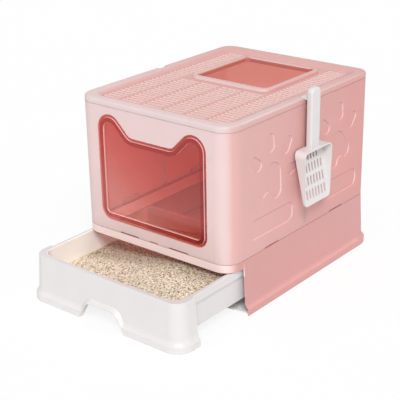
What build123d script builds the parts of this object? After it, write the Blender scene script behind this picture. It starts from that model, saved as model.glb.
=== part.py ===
from build123d import *
import os
from math import sqrt

# A covered litter box: a foot frame round a floor pan, two wall shells with a swinging cat-ear
# door, a slotted lid with a top entry, a drawer tray with litter and a scoop hung on the lid.
# Millimetres, X to the right, Y to the back, Z up, origin on the floor under the cabin's middle.
# The drawer stands pulled out.

# Cabin
box_width = 370.0
box_depth = 476.0
box_height = 380.0
corner_radius = 35.0
rear_radius = 28.0
wall = 2.6
least_radius = 2.0
same_height = 0.01
groove_height = 1.2
groove_depth = 1.0
groove_margin = 1.0

# Foot frame
base_height = 112.5
rail_height = 15.5
land_width = 10.0
funnel_reach = 25.0
funnel_wall = 2.4
skirt_set_back = 43.0
foot_height = 26.0
foot_lean = 4.5
foot_flare = 11.0
foot_lip = 14.0
lip_round = 2.0

# Floor pan
pan_thick = 4.0
pan_gap = 0.3
pan_set_back = 3.0
runner_width = 8.0
runner_spread = 240.0
runner_rear_gap = 30.0

# Wall shells
mid_seam_y = 6.0
seam_gap = 0.3
tongue_length = 44.0
tongue_thick = 2.0
tongue_gap = 0.3
tongue_drop = 8.0
tongue_root_height = 12.0
front_tongue_x = 62.5
side_tongue_reach = 112.0
slit_length = 48.0
slit_height = 3.0
slit_depth = 3.0
middle_slit = 21.0
strip_width = 15.0
strip_thick = 2.0
strip_bottom_gap = 8.0
strip_top_gap = 14.0

# Ornaments pressed into the side walls
ornament_depth = 1.7
ornament_slope = 50.0
ornament_wall = 256.0
ornament_shift = 4.0
bar_length = 142.0
bar_height = 40.0
bar_radius = 17.0
bar_rise = 50.5
paw_rise = 130.5
paw_tilt = 19.0
pad_top_radius = 26.0
pad_top_rise = 12.0
pad_lobe_radius = 17.0
pad_lobe_spread = 21.0
pad_lobe_drop = 16.0
pad_scallop_radius = 15.0
pad_scallop_drop = 37.0
pad_scallop_round = 4.0
toe_root_radius = 12.0
toe_tip_radius = 9.5
toe_length = 38.0
inner_toe_reach = 77.0
inner_toe_angle = 21.5
outer_toe_reach = 68.0
outer_toe_angle = 64.0

# Door opening and flap
door_side = 52.0
sill_rise = 23.0
dip_drop = 52.5
ear_run = 81.0
ear_radius = 31.0
dip_radius = 20.0
sill_radius = 24.0
flap_gap = 1.2
flap_set_back = 0.3
flap_thick = 4.0
flap_band = 14.5
panel_recess = 1.2
bead_inset = 4.0
bead_width = 10.0
bead_height = 1.5
bead_slope = 30.0
pin_radius = 1.2
pin_fit = 0.05
pin_run_gap = 0.1
pin_drop = 4.0
pin_in_flap = 8.0
pin_in_boss = 7.0
pin_end_gap = 0.5
boss_wall = 2.4

# Lid
lid_skirt = 11.5
lid_shoulder = 5.0
lid_gap = 0.4
lid_rim_wall = 2.0
lid_rim_drop = 8.0
field_side = 30.0
field_end = 31.0
field_radius = 18.0
field_drop = 6.0
field_thick = 5.0
border_run = 14.0
entry_width = 172.0
entry_depth = 170.0
entry_rear_gap = 30.0
entry_radius = 12.0
entry_lip = 14.0
entry_lip_drop = 1.0
entry_lip_round = 4.0
column_pitch = 53.0
column_rib = 5.0
slot_pitch = 11.6
slot_width = 6.5
slot_draft = 15.0
slot_margin = 4.0
notch_width = 26.0
notch_reach = 12.0
notch_drop = 4.0

# Drawer
drawer_pull = 140.0
drawer_proud = 3.0
drawer_inset = 2.0
drawer_radius = 24.0
drawer_top_gap = 2.0
return_gap = 1.0
drawer_length = 317.0
tray_side_gap = 7.0
band_height = 16.5
band_step = 4.0
tray_bottom = 28.0
tray_wall = 4.0
tray_floor = 3.0
tray_front_wall = 10.0
pocket_radius = 26.0
rim_round = 1.5
slide_gap = 0.3
notch_foot_half = 58.0
notch_top_half = 36.0
notch_height = 37.0
notch_corner = 18.0
notch_rim = 11.0
notch_rim_slope = 40.0

# Litter
litter_gap = 0.3
litter_right = 52.0
litter_left = 16.0
litter_flat = 110.0

# Scoop
scoop_gap = 3.0
scoop_width = 95.0
scoop_tip_width = 87.0
scoop_bowl = 111.0
scoop_depth = 25.0
scoop_wall = 2.4
scoop_corner = 12.0
scoop_tip_corner = 9.0
scoop_top_drop = 97.0
scoop_slot = 5.0
scoop_slot_pitch = 10.0
scoop_row_gap = 6.0
scoop_row_top = 14.0
scoop_rows = ((5, 12.0), (7, 18.0), (7, 19.0), (7, 20.0))
handle_width = 31.0
handle_thick = 13.0
handle_set_off = 7.0
handle_rise = 20.0
handle_end_radius = 10.0
handle_round = 4.0
handle_overlap = 8.0
hook_thick = 3.0
hook_gap = 0.6
hook_rest = 0.3
hook_drop = 7.0
hook_side_gap = 2.0

# Places worked out from the sizes above
scoop_y = mid_seam_y
half_width = box_width / 2
half_depth = box_depth / 2
rail_bottom = base_height - rail_height
skirt_front = skirt_set_back - half_depth
lid_seam = box_height - lid_skirt
wall_height = lid_seam - base_height
tongue_inset = wall + tongue_gap + tongue_thick / 2
ornament_scale = wall_height / ornament_wall
ornament_reach = half_depth / 2 - ornament_shift
door_half = half_width - door_side
door_sill = base_height + sill_rise
door_dip = lid_seam - dip_drop
dip_half = door_half - ear_run
field_width = box_width - 2 * field_side
field_depth = box_depth - 2 * field_end
entry_y = field_depth / 2 - entry_rear_gap - entry_depth / 2
drawer_top = rail_bottom - drawer_top_gap
drawer_half = half_width - drawer_inset
tray_half = half_width - tray_side_gap
tub_half = tray_half - band_step
drawer_front = -half_depth - drawer_proud - drawer_pull
return_rear = skirt_front - return_gap - drawer_pull
tray_rear = drawer_front + drawer_length
pocket_front = drawer_front + tray_front_wall
pocket_half = tub_half - tray_wall
pocket_floor = tray_bottom + tray_floor
pin_y = flap_set_back + flap_thick / 2 - half_depth
pin_z = door_dip - pin_drop
flap_front = half_depth - flap_set_back
lid_field_z = box_height - field_drop
field_bottom = lid_field_z - field_thick
notch_floor = box_height - notch_drop


def plan_outline(inset, mode=Mode.ADD):
    """Draws the cabin's rounded plan, moved in by inset, with tighter corners at the rear."""
    with BuildSketch(mode=Mode.PRIVATE) as plan:
        Rectangle(box_width - 2 * inset, box_depth - 2 * inset)
        fillet(plan.vertices().group_by(Axis.Y)[0], max(corner_radius - inset, least_radius))
        fillet(plan.vertices().group_by(Axis.Y)[-1], max(rear_radius - inset, least_radius))
    add(plan.sketch, mode=mode)


def u_path(half, open_y, closed_y, radius):
    """Draws a path along the right side, across the closed end and back along the left side."""
    turn = 1 if closed_y > open_y else -1
    right = Line((half, open_y), (half, closed_y - turn * radius))
    first = JernArc(right @ 1, right % 1, radius, turn * 90)
    across = Line(first @ 1, (radius - half, closed_y))
    second = JernArc(across @ 1, across % 1, radius, turn * 90)
    Line(second @ 1, (-half, open_y))


def right_wall_plane(half, y):
    """Returns the upright plane across the right wall at y, with the wall's outer face at the origin."""
    return Plane((half, y, 0), x_dir=(1, 0, 0), z_dir=(0, -1, 0))


def foot_section(top):
    """Draws a wall that leans out and curves into a foot with an upright lip."""
    with BuildLine() as outline:
        face = Line((0, top), (foot_lean, foot_height))
        cove = TangentArc(face @ 1, (foot_flare, foot_lip), tangent=face % 1)
        lip_back = (foot_flare - wall, foot_lip)
        Polyline(cove @ 1, (foot_flare, 0), (foot_flare - wall, 0), lip_back)
        back = TangentArc((foot_lean - wall, foot_height), lip_back, tangent=face % 1)
        Polyline(back @ 0, (-wall, top), face @ 0)
    make_face(outline.edges())
    fillet(vertices().group_by(Axis.X)[-1], lip_round)


def door_outline(inset):
    """Draws the cat-ear opening, moved in by inset: two straight slopes, with rounded corners."""
    side = door_half - inset
    sill = door_sill + inset
    dip = door_dip - inset
    slope_shift = inset * sqrt(2)
    dip_end = dip_half - inset + slope_shift
    tip = dip + side - dip_end
    with BuildLine() as outline:
        Polyline(
            (-side, sill),
            (side, sill),
            (side, tip),
            (dip_end, dip),
            (-dip_end, dip),
            (-side, tip),
            close=True,
        )
    make_face(outline.edges())
    fillet(vertices().group_by(Axis.Y)[1], dip_radius + inset)
    fillet(vertices().group_by(Axis.Y)[-1], ear_radius - inset)
    fillet(vertices().group_by(Axis.Y)[0], sill_radius - inset)


def tongue_places(end, inset):
    """Returns one shell's tongue places, moved in by inset: two on its end wall, one on each side wall."""
    end_y = end * (half_depth - inset)
    side_x = half_width - inset
    side_y = mid_seam_y + end * side_tongue_reach
    on_end = [Location((x, end_y, 0)) for x in (-front_tongue_x, front_tongue_x)]
    on_sides = [Location((x, side_y, 0), (0, 0, 90)) for x in (-side_x, side_x)]
    return on_end + on_sides


def shell_walls(end):
    """Builds the wall tube on one side of the mid seam, with its slits and tongues."""
    with BuildSketch(Plane.XY.offset(base_height)) as ring:
        plan_outline(0)
        plan_outline(wall, mode=Mode.SUBTRACT)
        with Locations((0, mid_seam_y + end * seam_gap / 2)):
            other_half = (Align.CENTER, Align.MAX if end > 0 else Align.MIN)
            Rectangle(2 * box_width, 2 * box_depth, align=other_half, mode=Mode.SUBTRACT)
    extrude(ring.sketch, amount=wall_height)
    for groove_z in (base_height, lid_seam - groove_height):
        with BuildSketch(Plane.XY.offset(groove_z)) as groove:
            plan_outline(-groove_margin)
            plan_outline(groove_depth, mode=Mode.SUBTRACT)
        extrude(groove.sketch, amount=groove_height, mode=Mode.SUBTRACT)
    with BuildSketch(Plane.XY.offset(base_height)) as seam_grooves:
        with Locations((-half_width, mid_seam_y), (half_width, mid_seam_y)):
            Rectangle(2 * groove_depth, seam_gap + groove_height)
    extrude(seam_grooves.sketch, amount=wall_height, mode=Mode.SUBTRACT)
    with BuildSketch(Plane.XY.offset(base_height)) as roots:
        with Locations(*tongue_places(end, tongue_inset)):
            Rectangle(slit_length, tongue_thick + 2 * tongue_gap + wall)
    extrude(roots.sketch, amount=tongue_root_height)
    with BuildSketch(Plane.XY.offset(base_height)) as slits:
        with Locations(*tongue_places(end, 0)):
            Rectangle(slit_length, 2 * slit_depth)
        with Locations((0, end * half_depth)):
            Rectangle(middle_slit, 2 * slit_depth)
    extrude(slits.sketch, amount=slit_height, mode=Mode.SUBTRACT)
    with BuildSketch(Plane.XY.offset(base_height - tongue_drop)) as tongues:
        with Locations(*tongue_places(end, tongue_inset)):
            Rectangle(tongue_length, tongue_thick)
    extrude(tongues.sketch, amount=tongue_drop)


def press_ornaments(end):
    """Presses a paw and a bar into both side walls of one shell."""
    middle = mid_seam_y + end * ornament_reach
    paw_z = base_height + paw_rise * ornament_scale
    bar_z = base_height + bar_rise * ornament_scale
    for side in (-1, 1):
        side_plane = Plane((side * half_width, 0, 0), x_dir=(0, 1, 0), z_dir=(1, 0, 0))
        with BuildSketch(side_plane) as ornaments:
            with Locations(Location((middle, paw_z, 0), (0, 0, end * paw_tilt))):
                add(paw.sketch)
            with Locations((middle, bar_z)):
                add(bar.sketch)
        for shape in ornaments.sketch.faces():
            extrude(shape, amount=-side * ornament_depth, taper=ornament_slope, mode=Mode.SUBTRACT)


def field_outline(grow):
    """Draws the lid's slotted field, moved out by grow."""
    RectangleRounded(field_width + 2 * grow, field_depth + 2 * grow, field_radius + grow)


def scoop_outline(inset):
    """Draws the scoop's blade, narrower at its tip, moved in by inset except at the tip."""
    top = scoop_width / 2 - inset
    tip = scoop_tip_width / 2 - inset
    with BuildLine() as outline:
        Polyline((-top, -inset), (top, -inset), (tip, -scoop_bowl), (-tip, -scoop_bowl), close=True)
    make_face(outline.edges())
    fillet(vertices().group_by(Axis.Y)[-1], scoop_corner - inset)
    fillet(vertices().group_by(Axis.Y)[0], scoop_tip_corner - inset)


# Foot frame: the funnel, the land and rail that the shells stand on, and the flared skirt
with BuildPart() as base_frame:
    with BuildSketch(Plane.XY.offset(rail_bottom)):
        plan_outline(funnel_reach - funnel_wall)
    with BuildSketch(Plane.XY.offset(base_height)):
        plan_outline(land_width - funnel_wall)
    loft(ruled=True)
    with BuildSketch(Plane.XY.offset(rail_bottom)):
        plan_outline(funnel_reach)
    with BuildSketch(Plane.XY.offset(base_height)):
        plan_outline(land_width)
    loft(ruled=True, mode=Mode.SUBTRACT)
    with BuildSketch(Plane.XY.offset(base_height - wall)):
        plan_outline(0)
        plan_outline(land_width, mode=Mode.SUBTRACT)
    extrude(amount=wall)
    with BuildSketch(Plane.XY.offset(rail_bottom)):
        plan_outline(0)
        plan_outline(wall, mode=Mode.SUBTRACT)
    extrude(amount=rail_height)
    with BuildLine() as skirt_path:
        u_path(half_width, skirt_front, half_depth, rear_radius)
    with BuildSketch(right_wall_plane(half_width, skirt_front)):
        foot_section(base_height)
    sweep(path=skirt_path.wires()[0])
    with BuildSketch(Plane.XY.offset(base_height)):
        with Locations(*tongue_places(-1, tongue_inset), *tongue_places(1, tongue_inset)):
            Rectangle(tongue_length + 2 * tongue_gap, tongue_thick + 2 * tongue_gap)
    extrude(amount=-wall, mode=Mode.SUBTRACT)

# Floor pan: a plate that fits inside the foot, with two runners for the drawer
with BuildPart() as floor_pan:
    pan_front = skirt_front + pan_set_back
    runner_length = half_depth - runner_rear_gap - pan_front
    with BuildSketch():
        plan_outline(wall + pan_gap - foot_flare)
        with Locations((0, pan_front)):
            Rectangle(2 * box_width, 2 * box_depth, align=(Align.CENTER, Align.MAX), mode=Mode.SUBTRACT)
    extrude(amount=pan_thick)
    with BuildSketch(Plane.XY.offset(pan_thick)):
        with Locations((0, pan_front + runner_length / 2)):
            with GridLocations(runner_spread, 0, 2, 1):
                Rectangle(runner_width, runner_length)
    extrude(amount=tray_bottom - slide_gap - pan_thick)

# Toe of the paw ornament: an egg with its narrow end outwards
with BuildSketch() as toe:
    with Locations((0, toe_root_radius - toe_length / 2)):
        Circle(toe_root_radius)
    with Locations((0, toe_length / 2 - toe_tip_radius)):
        Circle(toe_tip_radius)
    make_hull()

# Paw ornament: a pad with two lobes and a scalloped heel, and four toes on an arc
with BuildSketch() as paw:
    with Locations((0, pad_top_rise)):
        Circle(pad_top_radius)
    with Locations((-pad_lobe_spread, -pad_lobe_drop), (pad_lobe_spread, -pad_lobe_drop)):
        Circle(pad_lobe_radius)
    make_hull()
    with Locations((0, -pad_scallop_drop)):
        Circle(pad_scallop_radius, mode=Mode.SUBTRACT)
    fillet(vertices().group_by(Axis.Y)[0].sort_by(Axis.X)[1:-1], pad_scallop_round)
    for reach, angle in ((inner_toe_reach, inner_toe_angle), (outer_toe_reach, outer_toe_angle)):
        for turn in (-angle, angle):
            with Locations(Location((0, 0, 0), (0, 0, turn))):
                with Locations((0, reach)):
                    add(toe.sketch)
    scale(by=ornament_scale)

# Bar ornament
with BuildSketch() as bar:
    RectangleRounded(bar_length, bar_height, bar_radius)
    scale(by=ornament_scale)

# Front shell: front wall with the door opening, hinge bosses and the front side walls
with BuildPart() as front_shell:
    shell_walls(-1)
    press_ornaments(-1)
    with BuildSketch(Plane.XZ.offset(half_depth)):
        door_outline(0)
    extrude(amount=-wall, mode=Mode.SUBTRACT)
    boss_radius = pin_radius + pin_fit + boss_wall
    boss_front = wall / 2 - half_depth
    boss_depth = pin_y + boss_radius - boss_front
    for side in (-1, 1):
        with BuildSketch(Plane.YZ.offset(side * door_half)):
            with Locations((boss_front, pin_z)):
                Rectangle(boss_depth, 2 * boss_radius, align=(Align.MIN, Align.CENTER))
        extrude(amount=side * (pin_in_boss + pin_end_gap + boss_wall))
        with BuildSketch(Plane.YZ.offset(side * door_half)):
            with Locations((pin_y, pin_z)):
                Circle(pin_radius + pin_fit)
        extrude(amount=side * (pin_in_boss + pin_end_gap), mode=Mode.SUBTRACT)

# Rear shell: plain rear wall and the rear side walls
with BuildPart() as rear_shell:
    shell_walls(1)
    press_ornaments(1)


def seam_strip(side):
    """Builds the strip that covers one side seam from inside and joins the two shells."""
    with BuildSketch(Plane.XY.offset(base_height + strip_bottom_gap)) as section:
        with Locations((side * (half_width - wall - strip_thick / 2), mid_seam_y)):
            Rectangle(strip_thick, strip_width)
    extrude(section.sketch, amount=wall_height - strip_bottom_gap - strip_top_gap)


with BuildPart() as seam_strip_left:
    seam_strip(-1)
with BuildPart() as seam_strip_right:
    seam_strip(1)


def hinge_pin(side):
    """Builds one pin that reaches from its boss into the edge of the flap."""
    with BuildSketch(Plane.YZ.offset(side * (door_half - flap_gap - pin_in_flap))) as section:
        with Locations((pin_y, pin_z)):
            Circle(pin_radius)
    extrude(section.sketch, amount=side * (pin_in_flap + flap_gap + pin_in_boss))


with BuildPart() as hinge_pin_left:
    hinge_pin(-1)
with BuildPart() as hinge_pin_right:
    hinge_pin(1)

# Door flap: a thick band with a bead on it round a thinner panel, bored at both sides for the pins
with BuildPart() as door_flap:
    with BuildSketch(Plane.XZ.offset(flap_front)):
        door_outline(flap_gap)
    extrude(amount=-flap_thick)
    with BuildSketch(Plane.XZ.offset(flap_front)):
        door_outline(flap_gap + bead_inset)
    extrude(amount=bead_height, taper=bead_slope)
    with BuildSketch(Plane.XZ.offset(flap_front)):
        door_outline(flap_gap + bead_inset + bead_width)
    extrude(amount=bead_height, taper=-bead_slope, mode=Mode.SUBTRACT)
    with BuildSketch(Plane.XZ.offset(flap_front)):
        door_outline(flap_gap + flap_band)
    extrude(amount=-panel_recess, mode=Mode.SUBTRACT)
    with BuildSketch(Plane.XZ.offset(flap_front - flap_thick)):
        door_outline(flap_gap + flap_band)
    extrude(amount=panel_recess, mode=Mode.SUBTRACT)
    for side in (-1, 1):
        with BuildSketch(Plane.YZ.offset(side * (door_half - flap_gap))):
            with Locations((pin_y, pin_z)):
                Circle(pin_radius + pin_run_gap)
        extrude(amount=-side * (pin_in_flap + pin_end_gap), mode=Mode.SUBTRACT)

# Lid: a shallow cap with a sunk slotted field, a lipped entry and a hook notch on each side
with BuildPart() as lid:
    with BuildSketch(Plane.XY.offset(lid_seam)):
        plan_outline(0)
    extrude(amount=lid_skirt)
    fillet(edges().group_by(Axis.Z)[-1], lid_shoulder)
    with BuildSketch(Plane.XY.offset(lid_seam)):
        plan_outline(wall)
    extrude(amount=lid_skirt - wall, mode=Mode.SUBTRACT)
    with BuildSketch(Plane.XY.offset(lid_seam - lid_rim_drop)):
        plan_outline(wall + lid_gap)
        plan_outline(wall + lid_gap + lid_rim_wall, mode=Mode.SUBTRACT)
    extrude(amount=lid_rim_drop + lid_skirt - wall)
    with BuildSketch(Plane.XY.offset(field_bottom)):
        field_outline(wall)
    with BuildSketch(Plane.XY.offset(box_height - wall / 2)):
        field_outline(border_run + wall)
    loft(ruled=True)
    with BuildSketch(Plane.XY.offset(lid_field_z)):
        field_outline(0)
    with BuildSketch(Plane.XY.offset(box_height)):
        field_outline(border_run)
    loft(ruled=True, mode=Mode.SUBTRACT)
    lip_top = box_height - entry_lip_drop
    with BuildSketch(Plane.XY.offset(field_bottom)):
        with Locations((0, entry_y)):
            lip_size = (entry_width + 2 * entry_lip, entry_depth + 2 * entry_lip)
            RectangleRounded(*lip_size, entry_radius + entry_lip)
    extrude(amount=lip_top - field_bottom)
    with BuildSketch(Plane.XY.offset(lip_top)):
        with Locations((0, entry_y)):
            RectangleRounded(entry_width, entry_depth, entry_radius)
    extrude(amount=field_bottom - lip_top, mode=Mode.SUBTRACT)
    lip_edges = edges().filter_by(lambda edge: abs(edge.center().Z - lip_top) < same_height)
    fillet(lip_edges, entry_lip_round)
    lip_front = entry_y - entry_depth / 2 - entry_lip
    field_front = slot_margin - field_depth / 2
    side_rows = int((field_depth - 2 * slot_margin) // slot_pitch)
    front_rows = int((lip_front - slot_margin - field_front) // slot_pitch)
    first_row = field_front + slot_width / 2
    inner_slot = column_pitch - column_rib
    side_slot = field_width / 2 - slot_margin - 2 * column_pitch - column_rib / 2
    side_column = 2 * column_pitch + column_rib / 2 + side_slot / 2
    with BuildSketch(Plane.XY.offset(lid_field_z)) as slots:
        with Locations((0, first_row + (front_rows - 1) * slot_pitch / 2)):
            with GridLocations(column_pitch, slot_pitch, 4, front_rows):
                SlotOverall(inner_slot, slot_width)
        with Locations((0, first_row + (side_rows - 1) * slot_pitch / 2)):
            with GridLocations(2 * side_column, slot_pitch, 2, side_rows):
                SlotOverall(side_slot, slot_width)
    extrude(slots.sketch, amount=-field_thick, taper=slot_draft, mode=Mode.SUBTRACT)
    with BuildSketch(Plane.XY.offset(lid_seam - lid_rim_drop)):
        for side in (-1, 1):
            with Locations((side * (half_width - wall), mid_seam_y)):
                inward = (Align.MAX if side > 0 else Align.MIN, Align.CENTER)
                Rectangle(notch_reach - wall, notch_width, align=inward)
    extrude(amount=lid_rim_drop + lid_skirt, mode=Mode.SUBTRACT)
    with BuildSketch(Plane.XY.offset(notch_floor)):
        for side in (-1, 1):
            with Locations((side * half_width, mid_seam_y)):
                Rectangle(2 * notch_reach - wall, notch_width)
    extrude(amount=notch_drop, mode=Mode.SUBTRACT)


def notch_outline():
    """Draws the finger notch in the foot of the drawer's front."""
    with BuildLine() as outline:
        Polyline(
            (-notch_foot_half, 0),
            (notch_foot_half, 0),
            (notch_top_half, notch_height),
            (-notch_top_half, notch_height),
            close=True,
        )
    make_face(outline.edges())
    fillet(vertices().group_by(Axis.Y)[-1], notch_corner)


# Drawer: a front panel with side returns on a coved foot, and a tub with a stepped rim band
with BuildPart() as drawer_tray:
    with BuildLine() as fascia_path:
        u_path(drawer_half, return_rear, drawer_front, drawer_radius)
    with BuildSketch(right_wall_plane(drawer_half, return_rear)):
        foot_section(drawer_top)
    sweep(path=fascia_path.wires()[0])
    with BuildSketch(Plane.XY.offset(tray_bottom)):
        with Locations((0, drawer_front + wall / 2)):
            tub_length = drawer_length - wall / 2 - band_step
            Rectangle(2 * tub_half, tub_length, align=(Align.CENTER, Align.MIN))
        fillet(vertices(), drawer_radius - (drawer_half - tub_half))
    extrude(amount=drawer_top - tray_bottom)
    with BuildSketch(Plane.XY.offset(drawer_top - band_height)):
        with Locations((0, drawer_front + wall / 2)):
            Rectangle(2 * tray_half, drawer_length - wall / 2, align=(Align.CENTER, Align.MIN))
        fillet(vertices(), drawer_radius - (drawer_half - tray_half))
    extrude(amount=band_height)
    with BuildSketch(Plane.XY.offset(drawer_top - wall)):
        with Locations((0, drawer_front)):
            RectangleRounded(2 * drawer_half, box_depth, drawer_radius, align=(Align.CENTER, Align.MIN))
        with Locations((0, return_rear)):
            Rectangle(2 * box_width, 2 * box_depth, align=(Align.CENTER, Align.MIN), mode=Mode.SUBTRACT)
    extrude(amount=wall)
    with BuildSketch(Plane.XY.offset(pocket_floor)):
        with Locations((0, pocket_front)):
            pocket_length = tray_rear - band_step - tray_wall - pocket_front
            RectangleRounded(2 * pocket_half, pocket_length, pocket_radius, align=(Align.CENTER, Align.MIN))
    extrude(amount=drawer_top - pocket_floor, mode=Mode.SUBTRACT)
    fillet(edges().group_by(Axis.Z)[-1], rim_round)
    with BuildSketch(Plane.XZ.offset(-drawer_front)):
        notch_outline()
        offset(amount=notch_rim)
    extrude(amount=foot_flare, taper=notch_rim_slope)
    with BuildSketch():
        with Locations((0, drawer_front)):
            Rectangle(2 * box_width, 2 * box_depth)
    extrude(amount=-2 * notch_rim, mode=Mode.SUBTRACT)
    with BuildSketch(Plane.XZ.offset(foot_flare - drawer_front)):
        notch_outline()
    extrude(amount=-(foot_flare + 2 * wall), mode=Mode.SUBTRACT)

# Litter: heaped against the right wall of the tub and lower at the left
with BuildPart() as litter_bed:
    litter_half = pocket_half - litter_gap
    litter_length = pocket_length - 2 * litter_gap
    with BuildSketch(Plane.XZ.offset(-pocket_front - litter_gap)):
        with BuildLine():
            Polyline(
                (-litter_half, pocket_floor),
                (litter_half, pocket_floor),
                (litter_half, pocket_floor + litter_right),
                (litter_half - litter_flat, pocket_floor + litter_right),
                (-litter_half, pocket_floor + litter_left),
                close=True,
            )
        make_face()
    extrude(amount=-litter_length)
    with BuildSketch(Plane.XY.offset(pocket_floor)):
        with Locations((0, pocket_front + litter_gap)):
            litter_radius = pocket_radius - litter_gap
            RectangleRounded(2 * litter_half, litter_length, litter_radius, align=(Align.CENTER, Align.MIN))
    extrude(amount=drawer_top - pocket_floor, mode=Mode.INTERSECT)

# Scoop: a wedge-shaped bowl open to the right, a bar handle and a hook over the lid's skirt
bowl_back = half_width + scoop_gap
bowl_rim = bowl_back + scoop_depth
bowl_top = box_height - scoop_top_drop
bowl_tip = bowl_top - scoop_bowl
bowl_plane = Plane((bowl_back, scoop_y, bowl_top), x_dir=(0, 1, 0), z_dir=(1, 0, 0))
tip_back = bowl_rim - scoop_wall

with BuildPart() as bowl_hollow:
    with BuildSketch(Plane.XZ.offset(-scoop_y)):
        with BuildLine():
            Polyline(
                (bowl_back + scoop_wall, bowl_top),
                (bowl_rim, bowl_top),
                (bowl_rim, bowl_tip),
                close=True,
            )
        make_face()
    extrude(amount=scoop_width / 2, both=True)
    with BuildSketch(bowl_plane):
        scoop_outline(scoop_wall)
    extrude(amount=scoop_depth, mode=Mode.INTERSECT)

with BuildPart() as scoop_handle:
    with BuildSketch(Plane.YZ.offset(half_width + handle_set_off)):
        with Locations((scoop_y, bowl_top - handle_overlap)):
            handle_length = box_height + handle_rise - bowl_top + handle_overlap
            Rectangle(handle_width, handle_length, align=(Align.CENTER, Align.MIN))
        fillet(vertices().group_by(Axis.Y)[-1], handle_end_radius)
    extrude(amount=handle_thick)
    fillet(faces().sort_by(Axis.X)[0].edges() + faces().sort_by(Axis.X)[-1].edges(), handle_round)

with BuildPart() as scoop:
    with BuildSketch(Plane.XZ.offset(-scoop_y)):
        with BuildLine():
            Polyline(
                (bowl_back, bowl_top),
                (bowl_rim, bowl_top),
                (bowl_rim, bowl_tip),
                (tip_back, bowl_tip),
                close=True,
            )
        make_face()
    extrude(amount=scoop_width / 2, both=True)
    with BuildSketch(bowl_plane):
        scoop_outline(0)
    extrude(amount=scoop_depth, mode=Mode.INTERSECT)
    add(bowl_hollow.part, mode=Mode.SUBTRACT)
    row_top = -scoop_row_top
    for count, length in scoop_rows:
        with BuildSketch(bowl_plane):
            with Locations((0, row_top - length / 2)):
                with GridLocations(scoop_slot_pitch, 0, count, 1):
                    SlotOverall(length, scoop_slot, rotation=90)
        extrude(amount=scoop_depth, mode=Mode.SUBTRACT)
        row_top -= length + scoop_row_gap
    add(scoop_handle.part)
    hook_end = half_width - notch_reach + hook_gap
    hook_bottom = notch_floor + hook_rest
    hook_width = notch_width - 2 * hook_side_gap
    with BuildSketch(Plane.XY.offset(hook_bottom)):
        with Locations((hook_end, scoop_y)):
            arm_length = half_width + handle_set_off + handle_thick / 2 - hook_end
            Rectangle(arm_length, hook_width, align=(Align.MIN, Align.CENTER))
    extrude(amount=hook_thick)
    with BuildSketch(Plane.XY.offset(hook_bottom)):
        with Locations((hook_end, scoop_y)):
            Rectangle(hook_thick, hook_width, align=(Align.MIN, Align.CENTER))
    extrude(amount=-hook_drop)

for name, piece in (
    ("base_frame", base_frame),
    ("floor_pan", floor_pan),
    ("front_shell", front_shell),
    ("rear_shell", rear_shell),
    ("seam_strip_left", seam_strip_left),
    ("seam_strip_right", seam_strip_right),
    ("hinge_pin_left", hinge_pin_left),
    ("hinge_pin_right", hinge_pin_right),
    ("door_flap", door_flap),
    ("lid", lid),
    ("drawer_tray", drawer_tray),
    ("litter_bed", litter_bed),
    ("scoop", scoop),
):
    piece.part.label = name
    os.makedirs("parts", exist_ok=True)
    export_step(piece.part, f"parts/{name}.step")
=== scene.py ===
import math
import bpy
import numpy as np
from mathutils import Matrix, Vector


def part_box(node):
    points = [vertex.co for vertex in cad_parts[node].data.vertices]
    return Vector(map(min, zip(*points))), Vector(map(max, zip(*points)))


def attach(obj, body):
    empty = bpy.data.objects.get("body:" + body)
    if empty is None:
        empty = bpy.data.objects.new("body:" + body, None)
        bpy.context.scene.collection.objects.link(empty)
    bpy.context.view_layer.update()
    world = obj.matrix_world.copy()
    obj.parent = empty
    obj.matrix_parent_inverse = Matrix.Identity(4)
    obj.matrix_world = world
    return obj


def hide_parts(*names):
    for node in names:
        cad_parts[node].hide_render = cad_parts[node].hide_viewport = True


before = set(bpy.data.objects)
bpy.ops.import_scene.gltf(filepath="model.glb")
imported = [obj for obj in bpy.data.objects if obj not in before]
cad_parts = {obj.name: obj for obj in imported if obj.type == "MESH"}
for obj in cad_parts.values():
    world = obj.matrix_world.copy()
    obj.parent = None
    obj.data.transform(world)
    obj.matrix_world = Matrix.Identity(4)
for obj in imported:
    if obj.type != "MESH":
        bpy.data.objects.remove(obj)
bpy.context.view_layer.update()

# Lengths in the script are millimetres, and MM turns them to Blender's metres.
MM = 0.001


def box_mm(name):
    """Low and high corner of a CAD node's box, in millimetres, to the nearest micrometre."""
    return [[round(v / MM, 3) for v in corner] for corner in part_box(name)]


# Closed box, from the frame: half its width and depth, the tops of lid and foot frame, and the flap's front
HALF_WIDTH, HALF_DEPTH, LID_TOP = box_mm("lid")[1]
FOOT_TOP = box_mm("base_frame")[1][2]
FLAP_FRONT = box_mm("door_flap")[0][1]

# Camera that gives the photograph's view, in a frame of PHOTO pixels
PHOTO = 400
FOCAL_PIXELS = 1059.33
CAMERA_AZIMUTH = 39.44
CAMERA_ELEVATION = 22.32
CAMERA_ROLL = -1.06
CAMERA_DISTANCE = 2176.41
AIM_HEIGHT = 190.0
AIM_RIGHT = -59.43
AIM_UP = -60.29
SENSOR = 36.0

# Surround: the part of its white that falls on the object
FILL_LEVEL = 0.5

# Floor: the share of it that the camera sees as plain white paper, with the shadow on the rest, how far it
# reaches, and the size and tints of its faint clouds
PAPER_SHARE = 0.85
FLOOR_REACH = 6000.0
FLOOR_CLOUD = 300.0
PAPER_TINTS = ("#FAFAFA", "#FFFFFF")

# Share of the light that thin pink pieces let through at their outer faces, at their inner faces, and at the
# rear wall's inner face
OUTER_SHARE = 0.22
WALL_SHARES = (OUTER_SHARE, 0.75, 0.8)
LID_SHARES = (OUTER_SHARE, OUTER_SHARE, OUTER_SHARE)
WALL_GLOW = "#F7C6BF"

# Inner walls face the upright through the origin: distances from it, along a face's normal, at which a face
# starts to count as an inner wall and at which it fully does
INWARD_FROM = -20.0
INWARD_FULL = -60.0

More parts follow.
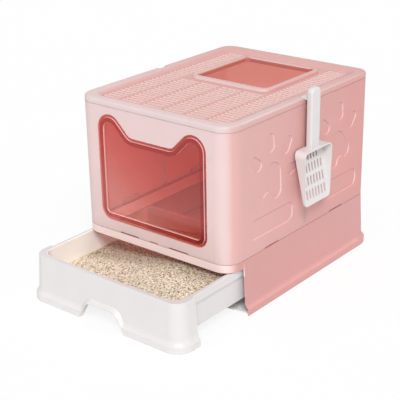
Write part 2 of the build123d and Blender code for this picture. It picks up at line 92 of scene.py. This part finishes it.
# Moulded faces: size of the soft clouds in the tone, and size, depth and strength of the fine grain
BLUSH_CLOUD = 60.0
WHITE_CLOUD = 50.0
FLAP_CLOUD = 40.0
CLOUD_TONES = (0.97, 1.03)
PEEL_SIZE = 1.5
PEEL_DEPTH = 0.2
PEEL_STRENGTH = 0.03

# Pale tint of the pink pieces, painted light that is strongest on the front: its share at the rear and at
# the front end of the sides and of the top, and the y or z of a normal between which a face comes to count
# as front or as top
PAINTED_LIGHT_RISE = (0.1, 0.9)
FRONT_TURNS = (-0.2, -0.95)
TOP_TURNS = (0.2, 0.9)

# Foot of the foot frame's front rail: below it the frame has its deep tint on every outer face, without the
# painted light of the front
RAIL_FOOT = 80.0

# Lid: heights of the slotted field and of the border, which takes the paler tint of painted light, the
# field's half sizes, and the entry, whose walls have painted shade. The slots' walls that face the front
# take painted light.
FIELD_TOP = LID_TOP - 5.0
BORDER_TOP = LID_TOP - 1.0
FIELD_HALF_WIDTH = HALF_WIDTH - 27.0
FIELD_HALF_DEPTH = HALF_DEPTH - 28.0
ENTRY_HALF_WIDTH = 86.5
ENTRY_HALF_DEPTH = 85.5
ENTRY_MIDDLE = 92.0
SLOT_BARS = "#E6B5AF"
SLOT_WALLS_PAINTED_LIGHT = "#FFF4F0"
ENTRY_SHADE = "#C97F78"

# Slits above the foot frame: the middle and half height of their band, which takes painted shade behind
# the walls' outer faces, apart from the rounded corners
SLIT_MIDDLE = FOOT_TOP + 1.5
SLIT_HALF_HEIGHT = 1.4
SLIT_HALF_WIDTH = HALF_WIDTH - 2.0
SLIT_HALF_DEPTH = HALF_DEPTH - 2.0
CORNER_FROM_X = HALF_WIDTH - 45.0
CORNER_FROM_Y = HALF_DEPTH - 48.0
SLIT_SHADE = "#3A1512"

# Side walls: the level of the ornaments' floor, the half length up to the rounded corners, and the x of a
# normal between which a face comes to count as an ornament's edge
ORNAMENT_FLOOR = HALF_WIDTH - 3.0
FLAT_HALF_LENGTH = HALF_DEPTH - 40.0
EDGE_TURNS = (0.99, 0.85)

# Ornaments' edges, which take painted light and shade: the side that takes the painted light, and the lean
# to that side between which their tone rises
PAINTED_EDGE_LIGHT = (0, -0.6, 0.8)
EDGE_LEANS = (-0.5, 0.5)
PAINTED_EDGE_TONES = (0.72, 1.12)

# Flap: depth at which its raised bead starts, whose thicker plastic takes a deeper red, and its slanting
# measure, x plus 1.5 times z, by which the panel takes painted shade at the upper right and a painted
# reflection, a pale haze, at the lower left
BEAD_FROM = FLAP_FRONT + 0.7
FLAP_SLANT = (1, 0, 1.5)
PAINTED_SHADE_FROM = 330.0
PAINTED_SHADE_FULL = 540.0
PAINTED_HAZE_FROM = 360.0
PAINTED_HAZE_FULL = 170.0
FLAP_PAINTED_HAZE = 0.25

# Bead's edges, which take a painted highlight: the y of a normal between which a face comes to count as one,
# the side that takes the painted highlight, the lean to that side between which the painted gleam rises to
# its full share, and the least share
BEAD_TURNS = (0.98, 0.6)
PAINTED_GLEAM_LIGHT = (0.7, 0, 0.7)
PAINTED_GLEAM_LEANS = (-0.3, 0.5)
PAINTED_GLEAM_LEAST = 0.75

# Flap's faces: the share of red skin over the clear body, from plain faces to those with the painted
# highlight or haze, the share of mirror seen square on, and the power by which it grows at a slant
SKIN_COVER = (0.06, 0.7)
MIRROR_LEAST = 0.05
MIRROR_POWER = 5.0
FLAP_REDS = ("#B23A33", "#BE4A42")
FLAP_PAINTED_GLEAM = "#F6C4BE"
PANEL_TINT = "#FCCFCB"
PANEL_PAINTED_HAZE = "#FFF0EC"
PANEL_PAINTED_SHADE = "#EDA9A3"
BEAD_TINT = "#D9625A"

# Litter in the tub: depth above the tub's floor at the left side and on the level right part, where that
# part starts, radius of the corners, spacing of the surface's points, and how much the slope is bent
LITTER_LOW = 16.0
LITTER_HIGH = 52.0
LITTER_FLAT_FROM = 60.0
LITTER_CORNER = 25.7
LITTER_STEP = 1.05
LITTER_BEND = 0.12

# Broad waves of the litter: height, and the lengths across and along that count for one radian
LITTER_WAVES = ((1.2, 31.0, 47.0), (0.9, -59.0, 23.0))

# Grains: spacing and height in millimetres, the part of the height that is level with the bed, then shift
# and radius in spacings, heights of the domes, and the power that makes most grains pale
GRAIN_SIZE = 3.4
GRAIN_RISE = 3.0
GRAIN_MIDDLE = 0.7
GRAIN_SHIFT = 0.3
GRAIN_RADII = (0.5, 0.8)
GRAIN_LIFTS = (0.55, 1.0)
PALE_POWER = 0.17
GRAIN_SEED = 7

# Colour of the litter: painted shade in the gaps between grains, from a gap's dark bottom to its rim, as
# parts of the grains' height, and the y between which painted shade darkens the grains to the rear tone
# towards the rear, under the cabin
GAP_BOTTOM = 0.13
GAP_RIM = 0.65
LITTER_SHADE_STARTS = -285.0
LITTER_SHADE_FULL = -240.0
REAR_PAINTED_SHADE = 0.6
GRAIN_BROWN = "#6E4518"
GRAIN_STRAW = "#FFF0D8"
GAP_PAINTED_SHADE = "#1C1004"

# Numbers of a Mix node's colour sockets: its two inputs and its output
MIX_A, MIX_B, MIX_OUT = 6, 7, 2


def linear(hex_colour):
    """Linear RGBA of an sRGB hex colour."""
    parts = [int(hex_colour[i:i + 2], 16) / 255 for i in (1, 3, 5)]
    low = [p / 12.92 for p in parts]
    high = [((p + 0.055) / 1.055) ** 2.4 for p in parts]
    return tuple(a if p <= 0.04045 else b for p, a, b in zip(parts, low, high)) + (1.0,)


def node(tree, kind, inputs=None, **settings):
    """Adds a node: settings are its properties, and inputs are values to set, hex colours to turn linear
    or sockets to link."""
    made = tree.nodes.new("ShaderNode" + kind)
    for name, value in settings.items():
        setattr(made, name, value)
    for name, value in (inputs or {}).items():
        if isinstance(value, bpy.types.NodeSocket):
            tree.links.new(value, made.inputs[name])
        else:
            made.inputs[name].default_value = linear(value) if isinstance(value, str) else value
    return made


def math_of(tree, operation, *values, clamp=False):
    """Adds a Math node and returns its output."""
    return node(tree, "Math", dict(enumerate(values)), operation=operation, use_clamp=clamp).outputs[0]


def times(tree, first, second):
    """Product of two values, which for masks is where both hold."""
    return math_of(tree, "MULTIPLY", first, second)


def greater(tree, first, second):
    """The greater of two values."""
    return math_of(tree, "MAXIMUM", first, second)


def below(tree, value, limit):
    """1 where a coordinate lies below a limit in millimetres, 0 elsewhere."""
    return math_of(tree, "LESS_THAN", value, limit * MM)


def beyond(tree, value, limit):
    """1 where a coordinate lies above a limit in millimetres, 0 elsewhere."""
    return math_of(tree, "GREATER_THAN", value, limit * MM)


def around(tree, value, middle, half):
    """1 where a coordinate is no further than half from middle, both in millimetres, 0 elsewhere."""
    return math_of(tree, "COMPARE", value, middle * MM, half * MM)


def ramp(tree, value, start=0.0, end=1.0, low=0.0, high=1.0, smooth=False):
    """Takes a value that goes from start to end to one that goes from low to high, and no further."""
    inputs = {"Value": value, "From Min": start, "From Max": end, "To Min": low, "To Max": high}
    kind = "SMOOTHSTEP" if smooth else "LINEAR"
    return node(tree, "MapRange", inputs, interpolation_type=kind).outputs[0]


def dot(tree, first, second):
    """Dot product of two vectors."""
    return node(tree, "VectorMath", {0: first, 1: second}, operation="DOT_PRODUCT").outputs["Value"]


def blend(tree, share, first, second):
    """Colour that goes from the first to the second as the share goes from 0 to 1."""
    inputs = {0: share, MIX_A: first, MIX_B: second}
    return node(tree, "Mix", inputs, data_type="RGBA").outputs[MIX_OUT]


def clouds(tree, place, size, detail):
    """Soft noise from 0 to 1 with clouds of a size in millimetres."""
    inputs = {"Vector": place.outputs["Object"], "Scale": 1 / (size * MM), "Detail": detail}
    return node(tree, "TexNoise", inputs).outputs["Fac"]


def new_material(name):
    """Returns a new material, its node tree and the tree's only node, its output."""
    material = bpy.data.materials.new(name)
    material.use_nodes = True
    tree = material.node_tree
    tree.nodes.clear()
    return material, tree, tree.nodes.new("ShaderNodeOutputMaterial")


def coordinates(tree):
    """Adds a material's coordinates, and returns their node and the x, y and z of place and normal."""
    place = node(tree, "TexCoord")
    spot = node(tree, "SeparateXYZ", {"Vector": place.outputs["Object"]}).outputs
    turn = node(tree, "SeparateXYZ", {"Vector": place.outputs["Normal"]}).outputs
    return place, spot, turn


def close(tree, output, shader):
    """Links a shader's first output to the surface of a material or a world."""
    tree.links.new(shader.outputs[0], output.inputs["Surface"])


def inward(tree, place):
    """Tells inner walls, 1, from outer walls, 0: inner walls face the middle of the box."""
    level_inputs = {0: place.outputs["Object"], 1: (1, 1, 0)}
    level_place = node(tree, "VectorMath", level_inputs, operation="MULTIPLY").outputs[0]
    away = dot(tree, level_place, place.outputs["Normal"])
    return ramp(tree, away, INWARD_FROM * MM, INWARD_FULL * MM)


def moulded_face(tree, place, cloud_size, smoothest, roughest):
    """Adds the unevenness of a moulded face, and returns its tone, its roughness and its normal."""
    cloud = clouds(tree, place, cloud_size, detail=3.0)
    tone = ramp(tree, cloud, low=CLOUD_TONES[0], high=CLOUD_TONES[1])
    rough = ramp(tree, cloud, low=smoothest, high=roughest)
    peel = clouds(tree, place, PEEL_SIZE, detail=2.0)
    bump = node(tree, "Bump", {"Height": peel, "Strength": PEEL_STRENGTH, "Distance": PEEL_DEPTH * MM})
    return tone, rough, bump.outputs[0]


def pale_share(tree, spot, turn, facing, inside, side_share, inside_share):
    """Share of a pink piece's pale tint, painted light: full on the front above the rail's foot, and rising
    from rear to front on the lid's border and, by side_share, on the sides. Inner walls have inside_share."""
    raised = ramp(tree, spot["Z"], FIELD_TOP * MM, BORDER_TOP * MM)
    upward = ramp(tree, turn["Z"], *TOP_TURNS, high=raised, smooth=True)
    along = ramp(tree, spot["Y"], HALF_DEPTH * MM, -HALF_DEPTH * MM, *PAINTED_LIGHT_RISE)
    front = times(tree, facing, beyond(tree, spot["Z"], RAIL_FOOT))
    front_or_top = greater(tree, front, times(tree, upward, along))
    outer = greater(tree, front_or_top, times(tree, along, side_share))
    return greater(tree, outer, times(tree, inside, inside_share))


def painted_ornament_light(tree, place, turn, across, length):
    """Painted light and shade on the sloping edges of the ornaments in the side walls, as a tone, and 1
    elsewhere.
    """
    slope = ramp(tree, math_of(tree, "ABSOLUTE", turn["X"]), *EDGE_TURNS)
    flank = times(tree, beyond(tree, across, ORNAMENT_FLOOR), below(tree, length, FLAT_HALF_LENGTH))
    lean = dot(tree, place.outputs["Normal"], PAINTED_EDGE_LIGHT)
    edge = ramp(tree, lean, *EDGE_LEANS, *PAINTED_EDGE_TONES)
    return ramp(tree, times(tree, flank, slope), low=1.0, high=edge)


def painted_slit_shade(tree, spot, across, length, tint):
    """Paints shade into the slits between the walls and the foot frame."""
    behind = times(tree, below(tree, across, SLIT_HALF_WIDTH), below(tree, length, SLIT_HALF_DEPTH))
    corner = times(tree, beyond(tree, across, CORNER_FROM_X), beyond(tree, length, CORNER_FROM_Y))
    sunk = math_of(tree, "SUBTRACT", behind, corner, clamp=True)
    band = around(tree, spot["Z"], SLIT_MIDDLE, SLIT_HALF_HEIGHT)
    return blend(tree, times(tree, sunk, band), tint, SLIT_SHADE)


def lid_tint(tree, spot, facing, across, length, tint):
    """Gives the lid a deeper field below its border, painted light on the slots' walls that face the front
    and painted shade on the wall round its entry.
    """
    within = times(tree, below(tree, across, FIELD_HALF_WIDTH), below(tree, length, FIELD_HALF_DEPTH))
    sunk = times(tree, within, below(tree, spot["Z"], FIELD_TOP))
    bars = blend(tree, sunk, tint, SLOT_BARS)
    field = blend(tree, times(tree, sunk, facing), bars, SLOT_WALLS_PAINTED_LIGHT)
    entry_length = around(tree, spot["Y"], ENTRY_MIDDLE, ENTRY_HALF_DEPTH)
    entry = times(tree, below(tree, across, ENTRY_HALF_WIDTH), entry_length)
    return blend(tree, entry, field, ENTRY_SHADE)


def blush_abs(name, deep, pale, shares=None, side_share=0.45, inside_share=0.0, slotted=False):
    """Injection-moulded ABS in blush pink: a satin face with painted light, a pale tint that is full on the
    front and fainter on the sides, and painted light and shade on the ornaments' edges. Thin walls let light
    through by their shares at the outer faces, the inner faces and the rear wall's inner face. Only a
    slotted piece, the lid, has the lid's painted light and shade, and only the others have painted shade in
    their slits."""
    material, tree, output = new_material(name)
    place, spot, turn = coordinates(tree)
    across = math_of(tree, "ABSOLUTE", spot["X"])
    length = math_of(tree, "ABSOLUTE", spot["Y"])
    facing = ramp(tree, turn["Y"], *FRONT_TURNS, smooth=True)
    inside = inward(tree, place)
    # Painted light: a pale tint over the plastic's deep pink on the faces that the light falls on most
    paleness = pale_share(tree, spot, turn, facing, inside, side_share, inside_share)
    tint = blend(tree, paleness, deep, pale)
    if slotted:
        tint = lid_tint(tree, spot, facing, across, length, tint)
    else:
        tint = painted_slit_shade(tree, spot, across, length, tint)
    tone, rough, normal = moulded_face(tree, place, BLUSH_CLOUD, smoothest=0.3, roughest=0.4)
    # Level of tone: the random clouds times the painted light and shade on the ornaments' edges
    level = times(tree, tone, painted_ornament_light(tree, place, turn, across, length))
    colour = node(tree, "HueSaturation", {"Color": tint, "Value": level}).outputs[0]
    face = {"Base Color": colour, "Roughness": rough, "Normal": normal, "IOR": 1.5}
    shader = node(tree, "BsdfPrincipled", face)
    if shares is not None:
        outer_share, inner_share, rear_share = shares
        inner = ramp(tree, facing, low=inner_share, high=rear_share)
        share = ramp(tree, inside, low=outer_share, high=inner)
        through = node(tree, "BsdfTranslucent", {"Color": WALL_GLOW})
        shader = node(tree, "MixShader", {0: share, 1: shader.outputs[0], 2: through.outputs[0]})
    close(tree, output, shader)
    return material


def white_pp(name, outer_tint, inner_tint, polish=0.0):
    """Injection-moulded polypropylene, white: a soft satin face with a faint grey cloud in it, and a tint
    each for outer and inner walls, where a paler inner tint is painted light. Polish is the share of a clear
    gloss on top."""
    material, tree, output = new_material(name)
    place = node(tree, "TexCoord")
    tint = blend(tree, inward(tree, place), outer_tint, inner_tint)
    tone, rough, normal = moulded_face(tree, place, WHITE_CLOUD, smoothest=0.32, roughest=0.42)
    colour = node(tree, "HueSaturation", {"Color": tint, "Value": tone}).outputs[0]
    face = {"Base Color": colour, "Roughness": rough, "Normal": normal, "IOR": 1.49}
    coat = {"Coat Weight": polish, "Coat Roughness": 0.2}
    close(tree, output, node(tree, "BsdfPrincipled", face | coat))
    return material


def red_flap():
    """Moulded clear polycarbonate in red: see-through, with a polished face, painted highlights on its
    bead's edges, a painted reflection, a pale haze, at its lower left and painted shade at its upper right."""
    material, tree, output = new_material("red_clear_polycarbonate")
    place, spot, turn = coordinates(tree)
    slant = ramp(tree, math_of(tree, "ABSOLUTE", turn["Y"]), *BEAD_TURNS)
    climb = dot(tree, place.outputs["Object"], FLAP_SLANT)
    # Painted shade: the panel's tint deepens towards the upper right
    deeper = ramp(tree, climb, PAINTED_SHADE_FROM * MM, PAINTED_SHADE_FULL * MM)
    # Painted reflection: a pale haze towards the lower left
    paler = ramp(tree, climb, PAINTED_HAZE_FROM * MM, PAINTED_HAZE_FULL * MM, smooth=True)
    panel = blend(tree, deeper, blend(tree, paler, PANEL_TINT, PANEL_PAINTED_HAZE), PANEL_PAINTED_SHADE)
    thick = greater(tree, slant, below(tree, spot["Y"], BEAD_FROM))
    clear = node(tree, "BsdfTransparent", {"Color": blend(tree, thick, panel, BEAD_TINT)})
    # Painted highlight on the bead's slanting edges, strongest on the side towards the light
    tilt = dot(tree, place.outputs["Normal"], PAINTED_GLEAM_LIGHT)
    gleam = times(tree, slant, ramp(tree, tilt, *PAINTED_GLEAM_LEANS, low=PAINTED_GLEAM_LEAST))
    # Painted highlight and painted reflection together set the skin's tint and its cover
    painted_shine = greater(tree, gleam, times(tree, paler, FLAP_PAINTED_HAZE))
    red = blend(tree, clouds(tree, place, FLAP_CLOUD, detail=2.0), *FLAP_REDS)
    skin = blend(tree, painted_shine, red, FLAP_PAINTED_GLEAM)
    shader = node(tree, "BsdfPrincipled", {"Base Color": skin, "Roughness": 0.12, "IOR": 1.58})
    cover = ramp(tree, painted_shine, low=SKIN_COVER[0], high=SKIN_COVER[1])
    body = node(tree, "MixShader", {0: cover, 1: clear.outputs[0], 2: shader.outputs[0]})
    edge = node(tree, "LayerWeight", {"Blend": 0.5}).outputs["Facing"]
    mirror = ramp(tree, math_of(tree, "POWER", edge, MIRROR_POWER), low=MIRROR_LEAST)
    polish = node(tree, "BsdfGlossy", {"Color": (1, 1, 1, 1), "Roughness": 0.08})
    close(tree, output, node(tree, "MixShader", {0: mirror, 1: body.outputs[0], 2: polish.outputs[0]}))
    return material


def pellet_litter():
    """Pressed plant pellets: pale straw grains, each a little different, with painted shade in the gaps
    between them and towards the rear.
    """
    material, tree, output = new_material("pressed_pellet_litter")
    tone = node(tree, "Attribute", attribute_name="grain_tone_and_shade").outputs["Fac"]
    gap = node(tree, "Attribute", attribute_name="grain_gap_shade").outputs["Fac"]
    colour = blend(tree, gap, blend(tree, tone, GRAIN_BROWN, GRAIN_STRAW), GAP_PAINTED_SHADE)
    close(tree, output, node(tree, "BsdfPrincipled", {"Base Color": colour, "Roughness": 0.85}))
    return material


def grid_faces(rows, columns):
    """Quads of a grid of rows by columns points, counted row by row."""
    corner = np.arange(rows * columns).reshape(rows, columns)[:-1, :-1].ravel()
    return np.stack([corner, corner + 1, corner + columns + 1, corner + columns], axis=1)


def make_piece(name, points, faces, material, body):
    """Makes a smooth mesh object from points in millimetres and faces, and lets it ride on a CAD body."""
    mesh = bpy.data.meshes.new(name)
    mesh.from_pydata((points * MM).tolist(), [], faces)
    mesh.polygons.foreach_set("use_smooth", np.full(len(mesh.polygons), True))
    mesh.materials.append(material)
    mesh.update()
    piece = bpy.data.objects.new(name, mesh)
    bpy.context.scene.collection.objects.link(piece)
    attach(piece, body)
    return piece


def grain_field(x, y):
    """Height from 0 to 1 and tone of loose grains at x, y: each cell of a square net holds one grain
    off its middle, a dome of its own size, and the highest dome over a point gives both values."""
    random = np.random.default_rng(GRAIN_SEED)
    column = np.floor(x / GRAIN_SIZE).astype(int)
    row = np.floor(y / GRAIN_SIZE).astype(int)
    column0, row0 = column.min() - 1, row.min() - 1
    shape = (column.max() - column0 + 2, row.max() - row0 + 2)
    shift_x, shift_y = random.uniform(-GRAIN_SHIFT, GRAIN_SHIFT, (2, *shape))
    radius = random.uniform(*GRAIN_RADII, shape)
    tones = random.uniform(0, 1, shape) ** PALE_POWER
    lift = random.uniform(*GRAIN_LIFTS, shape)
    height = np.zeros_like(x)
    tone = np.zeros_like(x)
    for step_x in (-1, 0, 1):
        for step_y in (-1, 0, 1):
            i, j = column - column0 + step_x, row - row0 + step_y
            dx = x / GRAIN_SIZE - (column + step_x + 0.5 + shift_x[i, j])
            dy = y / GRAIN_SIZE - (row + step_y + 0.5 + shift_y[i, j])
            dome = np.clip(1 - (dx * dx + dy * dy) / radius[i, j] ** 2, 0, 1) ** 0.5 * lift[i, j]
            tone = np.where(dome > height, tones[i, j], tone)
            height = np.maximum(height, dome)
    return height, tone


def litter_plan(low, high):
    """x and y of a grid of points over the litter's plan, which fills its box and has rounded corners."""
    middle_y = (low[1] + high[1]) / 2
    half_x, half_y = (high[0] - low[0]) / 2, (high[1] - low[1]) / 2
    columns, rows = int(2 * half_x / LITTER_STEP), int(2 * half_y / LITTER_STEP)
    u, v = np.meshgrid(np.linspace(-1, 1, columns), np.linspace(-1, 1, rows))
    into_corner = np.clip(np.abs(v) * half_y - (half_y - LITTER_CORNER), 0, LITTER_CORNER)
    row_half = half_x - LITTER_CORNER + np.sqrt(LITTER_CORNER**2 - into_corner**2)
    return u * row_half, middle_y + v * half_y


def litter_bed_height(x, y, half_x):
    """Height of the litter without its grains: it climbs from the low left side to a level right part,
    with a few broad waves."""
    climb = np.clip((x + half_x) / (half_x + LITTER_FLAT_FROM), 0, 1)
    smooth_climb = climb + LITTER_BEND * np.sin(2 * np.pi * climb) / (2 * np.pi)
    waves = sum(rise * np.sin(x / across + y / along) for rise, across, along in LITTER_WAVES)
    return LITTER_LOW + (LITTER_HIGH - LITTER_LOW) * smooth_climb + waves


def litter_heap(material):
    """Litter in the tub: a grid of points with the grains on top, and walls down to the tub's floor."""
    low, high = (np.array(v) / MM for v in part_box("litter_bed"))
    x, y = litter_plan(low, high)
    height, tone = grain_field(x, y)
    bed = low[2] + litter_bed_height(x, y, (high[0] - low[0]) / 2)
    top = np.stack([x, y, bed + GRAIN_RISE * (height - GRAIN_MIDDLE)], axis=-1)
    edge = np.concatenate([top[0, :], top[1:, -1], top[-1, -2::-1], top[-2:0:-1, 0]])
    foot = edge * (1, 1, 0) + (0, 0, low[2])
    points = np.concatenate([top.reshape(-1, 3), edge, foot])
    count, ring = x.size, len(edge)
    here = np.arange(ring)
    onward = (here + 1) % ring
    walls = np.stack([count + here, count + ring + here, count + ring + onward, count + onward], axis=1)
    underside = (count + ring + here[::-1]).tolist()
    faces = grid_faces(*x.shape).tolist() + walls.tolist() + [underside]
    heap = make_piece("litter_heap", points, faces, material, "drawer")
    # Painted shade: the grains darken towards the rear, under the cabin
    tone = tone * np.interp(y, (LITTER_SHADE_STARTS, LITTER_SHADE_FULL), (1, REAR_PAINTED_SHADE))
    # Painted shade in the gaps between the grains, where they are low
    gap = np.clip((GAP_RIM - height) / (GAP_RIM - GAP_BOTTOM), 0, 1)
    for name, values in (("grain_tone_and_shade", tone), ("grain_gap_shade", gap)):
        attribute = heap.data.attributes.new(name, "FLOAT", "POINT")
        attribute.data.foreach_set("value", np.concatenate([values.ravel(), np.zeros(2 * ring)]))
    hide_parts("litter_bed")


def dress(names, material):
    """Gives CAD nodes a material."""
    for name in names:
        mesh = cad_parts[name].data
        mesh.materials.clear()
        mesh.materials.append(material)


def direction(azimuth, elevation):
    """Unit vector from the box towards an azimuth, counted from the front to the right, and an elevation,
    both in degrees."""
    turn, tilt = math.radians(azimuth), math.radians(elevation)
    return Vector((math.sin(turn) * math.cos(tilt), -math.cos(turn) * math.cos(tilt), math.sin(tilt)))


def make_camera():
    """Places the camera that the photograph was taken with: round the box by azimuth and elevation,
    aimed beside its middle, rolled a little."""
    turn, roll = math.radians(CAMERA_AZIMUTH), math.radians(CAMERA_ROLL)
    back = direction(CAMERA_AZIMUTH, CAMERA_ELEVATION)
    level = Vector((math.cos(turn), math.sin(turn), 0))
    upright = back.cross(level)
    right = math.cos(roll) * level + math.sin(roll) * upright
    up = math.cos(roll) * upright - math.sin(roll) * level
    aim = Vector((0, 0, AIM_HEIGHT)) + AIM_RIGHT * right + AIM_UP * up
    data = bpy.data.cameras.new("photo_camera")
    data.sensor_width = SENSOR
    data.lens = FOCAL_PIXELS * SENSOR / PHOTO
    camera = bpy.data.objects.new("photo_camera", data)
    axes = Matrix((right, up, back)).transposed().to_4x4()
    camera.matrix_world = Matrix.Translation((aim + back * CAMERA_DISTANCE) * MM) @ axes
    bpy.context.scene.collection.objects.link(camera)
    bpy.context.scene.camera = camera


def soft_lamp(name, azimuth, elevation, spread, level):
    """Adds a distant lamp: level is the light that a white face square to it sends back, and spread
    is how wide the lamp looks, in degrees."""
    data = bpy.data.lights.new(name, "SUN")
    data.angle = math.radians(spread)
    data.energy = level * math.pi
    lamp = bpy.data.objects.new(name, data)
    source = direction(azimuth, elevation)
    lamp.matrix_world = (-source).to_track_quat("-Z", "Y").to_matrix().to_4x4()
    bpy.context.scene.collection.objects.link(lamp)


def make_floor():
    """White floor, which the camera sees mostly as plain white paper."""
    material, tree, output = new_material("white_paper_floor")
    mottle = clouds(tree, node(tree, "TexCoord"), FLOOR_CLOUD, detail=2.0)
    tint = blend(tree, mottle, *PAPER_TINTS)
    shader = node(tree, "BsdfDiffuse", {"Color": tint})
    paper = node(tree, "Emission", {"Color": (1, 1, 1, 1), "Strength": 1.0})
    seen = times(tree, node(tree, "LightPath").outputs["Is Camera Ray"], PAPER_SHARE)
    close(tree, output, node(tree, "MixShader", {0: seen, 1: shader.outputs[0], 2: paper.outputs[0]}))
    corners = np.array([(-1, -1, 0), (1, -1, 0), (1, 1, 0), (-1, 1, 0)]) * FLOOR_REACH
    mesh = bpy.data.meshes.new("floor")
    mesh.from_pydata((corners * MM).tolist(), [], [(0, 1, 2, 3)])
    mesh.materials.append(material)
    floor = bpy.data.objects.new("floor", mesh)
    bpy.context.scene.collection.objects.link(floor)


def make_surround():
    """White surround, full where it is seen, mirrored or seen through, and dimmer as light on the object."""
    world = bpy.data.worlds.new("white_surround")
    bpy.context.scene.world = world
    world.use_nodes = True
    tree = world.node_tree
    tree.nodes.clear()
    rays = node(tree, "LightPath").outputs
    clear = greater(tree, rays["Is Glossy Ray"], rays["Is Transmission Ray"])
    seen = greater(tree, rays["Is Camera Ray"], clear)
    level = ramp(tree, seen, low=FILL_LEVEL)
    background = node(tree, "Background", {"Color": (1, 1, 1, 1), "Strength": level})
    close(tree, tree.nodes.new("ShaderNodeOutputWorld"), background)


make_camera()
make_floor()
make_surround()
soft_lamp("key", azimuth=43, elevation=45, spread=25, level=0.68)

# Each pink piece's pale tint is painted light on its front, the lid's border and the sides, over the
# plastic's deep tint
dress(["front_shell", "rear_shell"],
      blush_abs("blush_thin_abs", deep="#DAA29D", pale="#EADEDD", shares=WALL_SHARES))
dress(["seam_strip_left", "seam_strip_right", "hinge_pin_left", "hinge_pin_right"],
      blush_abs("blush_strip_abs", deep="#FFFAF8", pale="#FFFAF8"))
dress(["lid"],
      blush_abs("blush_slotted_abs", deep="#E4AFAA", pale="#F1E4E2", shares=LID_SHARES, slotted=True))
dress(["base_frame"],
      blush_abs("blush_thick_abs", deep="#D19995", pale="#F8E2E0", side_share=0, inside_share=1))
# The white pieces' paler inner tints are painted light
dress(["drawer_tray"], white_pp("white_moulded_polypropylene", "#DEDBDB", "#FFFDF8"))
dress(["scoop"], white_pp("white_scoop_polypropylene", "#DEDBDA", "#E4DFDE"))
dress(["floor_pan"], white_pp("white_glossy_polypropylene", "#FCF9F7", "#FCF9F7", polish=1.0))
dress(["door_flap"], red_flap())
litter_heap(pellet_litter())

bpy.context.scene.view_settings.view_transform = "Standard"
